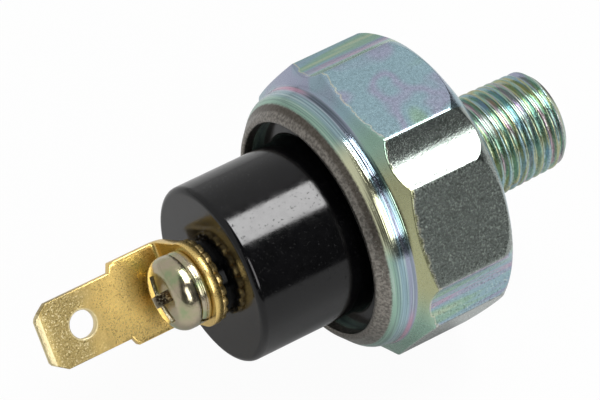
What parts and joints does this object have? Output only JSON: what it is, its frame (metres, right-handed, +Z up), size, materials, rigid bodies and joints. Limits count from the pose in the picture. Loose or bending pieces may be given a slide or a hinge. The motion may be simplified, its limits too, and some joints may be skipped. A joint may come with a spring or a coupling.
{
  "type": "oil pressure sender",
  "caption": "Steel hexagon oil pressure sender with a taper thread, a black insulator in a rolled collar and a bent brass blade terminal held by a screw.",
  "frame": {"origin": "middle of the hexagon's shoulder face, where the thread starts", "axes": "+X along the sender's axis out of the threaded end, -X towards the blade; +Z up, square to the flat opposite the one that it lies on"},
  "size_m": [0.0517, 0.0282, 0.027],
  "materials": {
    "zinc_body": "rainbow zinc plating, half gloss",
    "zinc_fastener": "yellow zinc plating, bright",
    "plain_steel": "plain steel, satin",
    "terminal_brass": "rolled brass, satin, fine speckle",
    "contact_brass": "turned and pressed brass, satin",
    "black_phenolic": "moulded phenolic, gloss",
    "plunger_plastic": "moulded nylon, matt",
    "seal_rubber": "nitrile rubber, matt",
    "amber_film": "polyimide film, gloss",
    "gasket_fibre": "gasket fibre, matt"
  },
  "bodies": {
    "housing": {"hex_body": "zinc_body", "diaphragm_seal": "seal_rubber", "diaphragm": "amber_film", "contact_ring": "contact_brass", "flange_gasket": "gasket_fibre", "calibration_spring": "plain_steel", "spring_seat": "contact_brass", "adjusting_screw": "contact_brass", "terminal_insert": "terminal_brass", "insulator": "black_phenolic", "blade_terminal": "terminal_brass", "spring_washer": "zinc_fastener", "terminal_screw": "zinc_fastener"},
    "contact_carrier": {"thrust_plate": "plain_steel", "plunger": "plunger_plastic", "contact_disc": "contact_brass"}
  },
  "joints": [
    {"name": "plunger_lift", "type": "slide", "parent": "housing", "child": "contact_carrier", "axis": [-1, 0, 0], "range_m": [0, 0.0006], "stiffness_N_per_m": 3000, "springref_m": -0.0025, "deforming": ["calibration_spring", "diaphragm"]}
  ]
}
